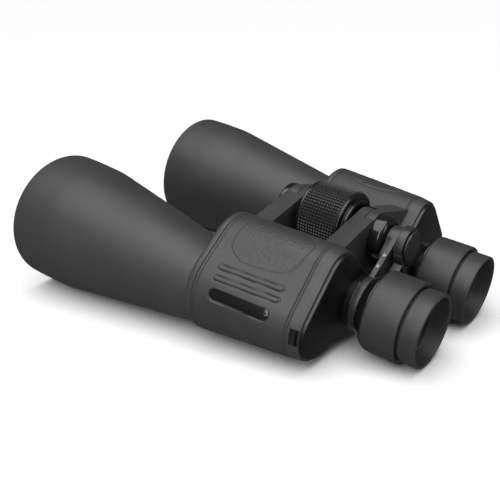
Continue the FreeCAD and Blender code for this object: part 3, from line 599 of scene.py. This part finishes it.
def eyepiece(side):
    at = axis_of(side + "_eyecup")
    sleeve, ring, cup, tube = (side + n for n in ("_eyepiece_sleeve", "_eyepiece_ring", "_eyecup", "_guide_tube"))
    front, rear, outer = front_of(sleeve), rear_of(sleeve), radius_of(sleeve)
    inner = radius_of(ring)
    yield turn(side + "_focus_sleeve", [
        (inner, front, 0), (outer, front, SLEEVE_EDGE), (outer, rear, SLEEVE_EDGE), (inner, rear, 0)], at, 192), sleeve
    ring_front = front_of(ring)
    cone_edge = front + 0.9
    yield turn(side + "_eyepiece_cone", [
        (EYEPIECE_BORE, ring_front, 0), (16.0, ring_front, 0.5), (inner + 0.6, cone_edge, 0.4),
        (inner + 0.6, front + 0.1, 0.2),
        (inner, front + 0.1, 0), (inner, rear + 0.1, 0), (EYEPIECE_BORE, rear + 0.1, 0)], at, 192), ring
    cup_rear, cup_outer = rear_of(cup), radius_of(cup)
    yield turn(side + "_eyecup_shell", [
        (CUP_BORE, rear, 0), (cup_outer - 0.7, rear, 0), (cup_outer - 0.7, rear - 0.7, 0.2),
        (cup_outer, rear - 1.0, 0.4), (cup_outer, cup_rear, EYECUP_LIP),
        (cup_outer - EYECUP_WALL, cup_rear, EYECUP_LIP), (cup_outer - EYECUP_WALL - 0.4, cup_rear + 3.0, 1.0),
        (16.2, rear - CUP_STEP, 0.8), (CUP_BORE, rear - CUP_STEP, 0)], at, 192), cup
    tube_outer, tube_rear = radius_of(tube), rear_of(tube)
    yield turn(side + "_guide_barrel", [
        (GUIDE_BORE, front_of(tube), 0), (tube_outer, front_of(tube), 0), (tube_outer, tube_rear, 0.4),
        (GUIDE_BORE, tube_rear, 0.2)], at, 192), tube


for side in SIDES:
    for piece, node in eyepiece(side):
        stand_in(piece, node)
    print(side, "eyepiece made")

# %% [markdown]
# ## Hinge and focus drive
# A polished boss closes the rear of the hinge, and a domed cap closes the focus rod. Both are turned, with generous
# round edges, because their highlights are what the eye picks out between the two eyepieces.

# %% the caps and the boss
HINGE = (0.0, 0.0)
ROD_BORE = 3.06
AXLE_RADIUS = 4.5
WHEEL_BORE = 4.56
TRIPOD_BORE = 2.6
TRIPOD_DEPTH = 10.0
CAP_FLANGE = 3.4


def turned_centre(name, node, corners):
    piece = stand_in(turn(name, corners, HINGE, 128), node)
    print(name, len(piece.data.polygons), "faces")


boss = "hinge_rear_bush"
boss_r, boss_rear = radius_of(boss), rear_of(boss)
boss_front = boss_rear + 7.7
turned_centre("hinge_boss", boss, [
    (ROD_BORE, front_of(boss), 0), (AXLE_RADIUS, front_of(boss), 0.3), (AXLE_RADIUS, boss_front, 0),
    (boss_r, boss_front, 0.4),
    (boss_r, boss_rear + 1.6, 1.2), (boss_r - 1.7, boss_rear, 1.2), (5.4, boss_rear, 0.3), (5.0, boss_rear + 0.6, 0.2),
    (ROD_BORE, boss_rear + 0.6, 0)])
cap = "rod_cap"
cap_r, cap_rear, cap_front = radius_of(cap), rear_of(cap), front_of(cap)
turned_centre("focus_rod_cap", cap, [
    (0, cap_front, 0), (cap_r, cap_front, 0.3), (cap_r, cap_rear + 1.0, 0.7), (cap_r - 1.3, cap_rear + 0.55, 0.5),
    (cap_r - 1.7, cap_rear + 0.8, 0.2), (cap_r - 2.3, cap_rear + 0.5, 0.4), (3.4, cap_rear + 0.1, 2.0),
    (0, cap_rear, 0)])
axle = "hinge_front_axle"
axle_r = radius_of(axle)
turned_centre("hinge_front_cap", axle, [
    (TRIPOD_BORE, -TRIPOD_DEPTH, 0), (TRIPOD_BORE, -0.5, 0.1), (TRIPOD_BORE + 0.5, 0, 0.1), (axle_r, 0, 0.9),
    (axle_r, -CAP_FLANGE, 0.3), (AXLE_RADIUS, -CAP_FLANGE, 0), (AXLE_RADIUS, rear_of(axle), 0.3),
    (0, rear_of(axle), 0), (0, -TRIPOD_DEPTH, 0)])

# %% [markdown]
# ## The focus wheel
# The wheel's core is polished black with a thin rim at each end and a collar behind. Round it sits a rubber grip whose
# knurl is hundreds of little square studs. Copying a stud by hand would be slow and hard to change, so a Geometry Nodes
# tree does it: it places points in rows round a cylinder and sets a stud on each. The grip's base is turned separately.

# %% the wheel's core
wheel = "focus_wheel"
grip = "wheel_grip"
grip_front, grip_rear, grip_r = front_of(grip), rear_of(grip), radius_of(grip)
hub_front, hub_rear = front_of(wheel), rear_of(wheel)
RIM = 1.6
COLLAR = 2.2
rim_front, rim_rear = grip_front + RIM, grip_rear - RIM
turned_centre("wheel_core", wheel, [
    (WHEEL_BORE, hub_front, 0), (9.5, hub_front, 0.3), (9.5, rim_front - 0.8, 0.3), (15.2, rim_front - 0.8, 0.3),
    (16.2, rim_front, 0.3), (grip_r - 0.3, rim_front, 0.6), (grip_r - 0.3, grip_front, 0.5),
    (17.2, grip_front, 0), (17.2, grip_rear, 0), (grip_r - 0.3, grip_rear, 0.5), (grip_r - 0.3, rim_rear, 0.7),
    (15.0, rim_rear, 0.3), (15.0, rim_rear - COLLAR, 0.5), (12.5, rim_rear - COLLAR, 0.4), (12.5, rim_rear + 1.5, 0.3),
    (9.5, rim_rear + 1.5, 0.3), (9.5, hub_rear, 0.3), (WHEEL_BORE, hub_rear, 0)])

# %% the knurl's tree
def knurl_tree():
    tree = bpy.data.node_groups.new("knurled_grip", "GeometryNodeTree")
    sockets = {}
    for label, kind, value in (("Radius", "NodeSocketFloat", 0.018), ("Length", "NodeSocketFloat", 0.02),
                               ("Around", "NodeSocketInt", 60), ("Rows", "NodeSocketInt", 12),
                               ("Stud Size", "NodeSocketFloat", 0.0008), ("Stud Height", "NodeSocketFloat", 0.0006),
                               ("Finish", "NodeSocketMaterial", None)):
        sockets[label] = tree.interface.new_socket(label, in_out="INPUT", socket_type=kind)
        if value is not None:
            sockets[label].default_value = value
    tree.interface.new_socket("Geometry", in_out="OUTPUT", socket_type="NodeSocketGeometry")
    nodes, links = tree.nodes, tree.links
    start, end = nodes.new("NodeGroupInput"), nodes.new("NodeGroupOutput")

    def calc(operation, first, second=None):
        node = nodes.new("ShaderNodeMath")
        node.operation = operation
        for socket, value in zip(node.inputs, (first, second)):
            if isinstance(value, (int, float)):
                socket.default_value = value
            elif value is not None:
                links.new(value, socket)
        return node.outputs[0]

    count = calc("MULTIPLY", start.outputs["Around"], start.outputs["Rows"])
    points = nodes.new("GeometryNodePoints")
    links.new(count, points.inputs["Count"])
    index = nodes.new("GeometryNodeInputIndex").outputs[0]
    turn_share = calc("DIVIDE", calc("MODULO", index, start.outputs["Around"]), start.outputs["Around"])
    angle = calc("MULTIPLY", turn_share, 2 * math.pi)
    row = calc("FLOOR", calc("DIVIDE", calc("ADD", index, 0.5), start.outputs["Around"]))
    row_share = calc("DIVIDE", calc("ADD", row, 0.5), start.outputs["Rows"])
    outward = nodes.new("ShaderNodeCombineXYZ")
    links.new(calc("COSINE", angle), outward.inputs["X"])
    links.new(calc("SINE", angle), outward.inputs["Z"])
    place = nodes.new("ShaderNodeCombineXYZ")
    lift = calc("ADD", start.outputs["Radius"], calc("MULTIPLY", start.outputs["Stud Height"], -0.5))
    links.new(calc("MULTIPLY", calc("COSINE", angle), lift), place.inputs["X"])
    links.new(calc("MULTIPLY", calc("SUBTRACT", 0.5, row_share), start.outputs["Length"]), place.inputs["Y"])
    links.new(calc("MULTIPLY", calc("SINE", angle), lift), place.inputs["Z"])
    links.new(place.outputs[0], points.inputs["Position"])
    stud = nodes.new("GeometryNodeMeshCone")
    stud.inputs["Vertices"].default_value = 4
    links.new(calc("MULTIPLY", start.outputs["Stud Size"], 0.38), stud.inputs["Radius Top"])
    links.new(start.outputs["Stud Size"], stud.inputs["Radius Bottom"])
    links.new(start.outputs["Stud Height"], stud.inputs["Depth"])
    square = nodes.new("GeometryNodeTransform")
    square.inputs["Rotation"].default_value = (0, 0, math.radians(45))
    links.new(stud.outputs["Mesh"], square.inputs["Geometry"])
    facing = nodes.new("FunctionNodeAlignRotationToVector")
    facing.axis = "Z"
    links.new(outward.outputs[0], facing.inputs["Vector"])
    copies = nodes.new("GeometryNodeInstanceOnPoints")
    links.new(points.outputs[0], copies.inputs["Points"])
    links.new(square.outputs[0], copies.inputs["Instance"])
    links.new(facing.outputs[0], copies.inputs["Rotation"])
    solid = nodes.new("GeometryNodeRealizeInstances")
    links.new(copies.outputs[0], solid.inputs[0])
    paint = nodes.new("GeometryNodeSetMaterial")
    links.new(solid.outputs[0], paint.inputs["Geometry"])
    links.new(start.outputs["Finish"], paint.inputs["Material"])
    links.new(paint.outputs[0], end.inputs[0])
    return tree, sockets


def bake_tree(name, tree, sockets, values):
    """Runs a tree once and keeps the result as a plain mesh piece."""
    carrier = bpy.data.objects.new("carrier", bpy.data.meshes.new("carrier"))
    bpy.context.scene.collection.objects.link(carrier)
    modifier = carrier.modifiers.new("make", "NODES")
    modifier.node_group = tree
    for label, value in values.items():
        modifier[sockets[label].identifier] = value
    view = bpy.context.evaluated_depsgraph_get()
    mesh = bpy.data.meshes.new_from_object(carrier.evaluated_get(view), depsgraph=view)
    mesh.name = name
    bpy.data.objects.remove(carrier)
    piece = bpy.data.objects.new(name, mesh)
    bpy.context.scene.collection.objects.link(piece)
    return piece


# %% the knurled grip
STUD_HEIGHT = 0.75
STUD_PITCH = 1.78
middle = (grip_front + grip_rear) / 2
grip_length = grip_front - grip_rear
tree, sockets = knurl_tree()
studs = bake_tree("wheel_studs", tree, sockets, {
    "Radius": grip_r * MM, "Length": (grip_length - 0.6) * MM,
    "Around": round(2 * math.pi * grip_r / STUD_PITCH), "Rows": round(grip_length / STUD_PITCH),
    "Stud Size": STUD_PITCH * 0.66 * MM, "Stud Height": STUD_HEIGHT * MM, "Finish": FINISHES["grip_rubber"]})
studs.data.transform(Matrix.Translation((0, middle * MM, 0)))
tidy_mesh(studs.data, 25)
dress(studs, "grip_rubber")
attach(studs, body_of[grip])
base_r = grip_r - STUD_HEIGHT + 0.05
sleeve = turn("wheel_grip_base", [
    (17.25, grip_front, 0), (base_r, grip_front, 0.2), (base_r, grip_rear, 0.2), (17.25, grip_rear, 0)], HINGE, 160)
stand_in(sleeve, grip)
print("studs:", len(studs.data.polygons) // 6)

# %% [markdown]
# ## Floor, light and camera
# The binoculars rest on the hoods in front and on the eyepiece sleeves behind, so the pale floor is the plane that
# touches both. A large soft light hangs overhead, with a weaker one at each side for the long highlights.

# %% the floor
hood_low = limits("left_objective_tube")[0].z
sleeve_low = limits("left_eyepiece_sleeve")[0].z
hood_y, sleeve_y = front_of("left_objective_tube"), rear_of("left_eyepiece_sleeve")
slope = (sleeve_low - hood_low) / (hood_y - sleeve_y)
FLOOR_HALF = 4000.0
FLOOR_GAP = 0.15
floor = new_piece("studio_floor", [
    (x, y, hood_low - FLOOR_GAP + (hood_y - y) * slope)
    for x, y in ((-FLOOR_HALF, -FLOOR_HALF), (FLOOR_HALF, -FLOOR_HALF), (FLOOR_HALF, FLOOR_HALF),
                 (-FLOOR_HALF, FLOOR_HALF))], [(0, 1, 2, 3)])
pale = bpy.data.materials.new("pale_floor")
pale.use_nodes = True
pale.node_tree.nodes["Principled BSDF"].inputs["Base Color"].default_value = (0.88, 0.88, 0.88, 1)
pale.node_tree.nodes["Principled BSDF"].inputs["Roughness"].default_value = 0.9
pale.node_tree.nodes["Principled BSDF"].inputs["Specular IOR Level"].default_value = 0.1
floor.data.materials.append(pale)
print("floor tilt", round(math.degrees(math.atan(slope)), 1), "degrees")

# %% the lights
def aim(lamp, place, target):
    lamp.location = place
    lamp.rotation_euler = (Vector(target) - Vector(place)).to_track_quat("-Z", "Y").to_euler()


def add_light(name, kind, place, target, power, size=(1, 1), spread=60):
    data = bpy.data.lights.new(name, kind)
    data.energy = power
    if kind == "AREA":
        data.shape = "RECTANGLE"
        data.size, data.size_y = size
    else:
        data.angle = math.radians(spread)
    lamp = bpy.data.objects.new(name, data)
    bpy.context.scene.collection.objects.link(lamp)
    aim(lamp, place, target)


MIDDLE = (0, 0, -0.02)
add_light("key", "SUN", (-0.30, 0.10, 1.0), MIDDLE, 3.4, spread=70)
add_light("left_strip", "AREA", (-0.70, -0.05, 0.30), MIDDLE, 1.6, (0.20, 0.50))
add_light("right_strip", "AREA", (0.10, -0.80, 0.40), MIDDLE, 1.2, (0.25, 0.50))

world = bpy.data.worlds.new("studio")
bpy.context.scene.world = world
world.use_nodes = True
backdrop = world.node_tree.nodes["Background"]
backdrop.inputs["Color"].default_value = (1, 1, 1, 1)
seen = world.node_tree.nodes.new("ShaderNodeLightPath")
level_of = world.node_tree.nodes.new("ShaderNodeMapRange")
level_of.inputs["To Min"].default_value = 0.10
level_of.inputs["To Max"].default_value = 1.0
world.node_tree.links.new(seen.outputs["Is Camera Ray"], level_of.inputs["Value"])
world.node_tree.links.new(level_of.outputs["Result"], backdrop.inputs["Strength"])
bpy.context.scene.view_settings.view_transform = "Standard"
floor.visible_glossy = False

# %% the camera
CAMERA_PLACE = (-0.31193, -0.20882, 0.15404)
CAMERA_AZIMUTH = 36.86
CAMERA_ELEVATION = -26.43
CAMERA_ROLL = 4.13
CAMERA_LENS = 50.13
az, el, roll = (math.radians(a) for a in (CAMERA_AZIMUTH, CAMERA_ELEVATION, CAMERA_ROLL))
ahead = Vector((math.cos(el) * math.cos(az), math.cos(el) * math.sin(az), math.sin(el)))
level = ahead.cross(Vector((0, 0, 1))).normalized()
upright = level.cross(ahead)
right = level * math.cos(roll) + upright * math.sin(roll)
up = upright * math.cos(roll) - level * math.sin(roll)
camera_data = bpy.data.cameras.new("camera")
camera_data.lens = CAMERA_LENS
camera_data.clip_start = 0.01
camera = bpy.data.objects.new("camera", camera_data)
bpy.context.scene.collection.objects.link(camera)
camera.matrix_world = Matrix.Translation(CAMERA_PLACE) @ Matrix((right, up, -ahead)).transposed().to_4x4()
bpy.context.scene.camera = camera
print("camera looks along", [round(v, 3) for v in ahead])
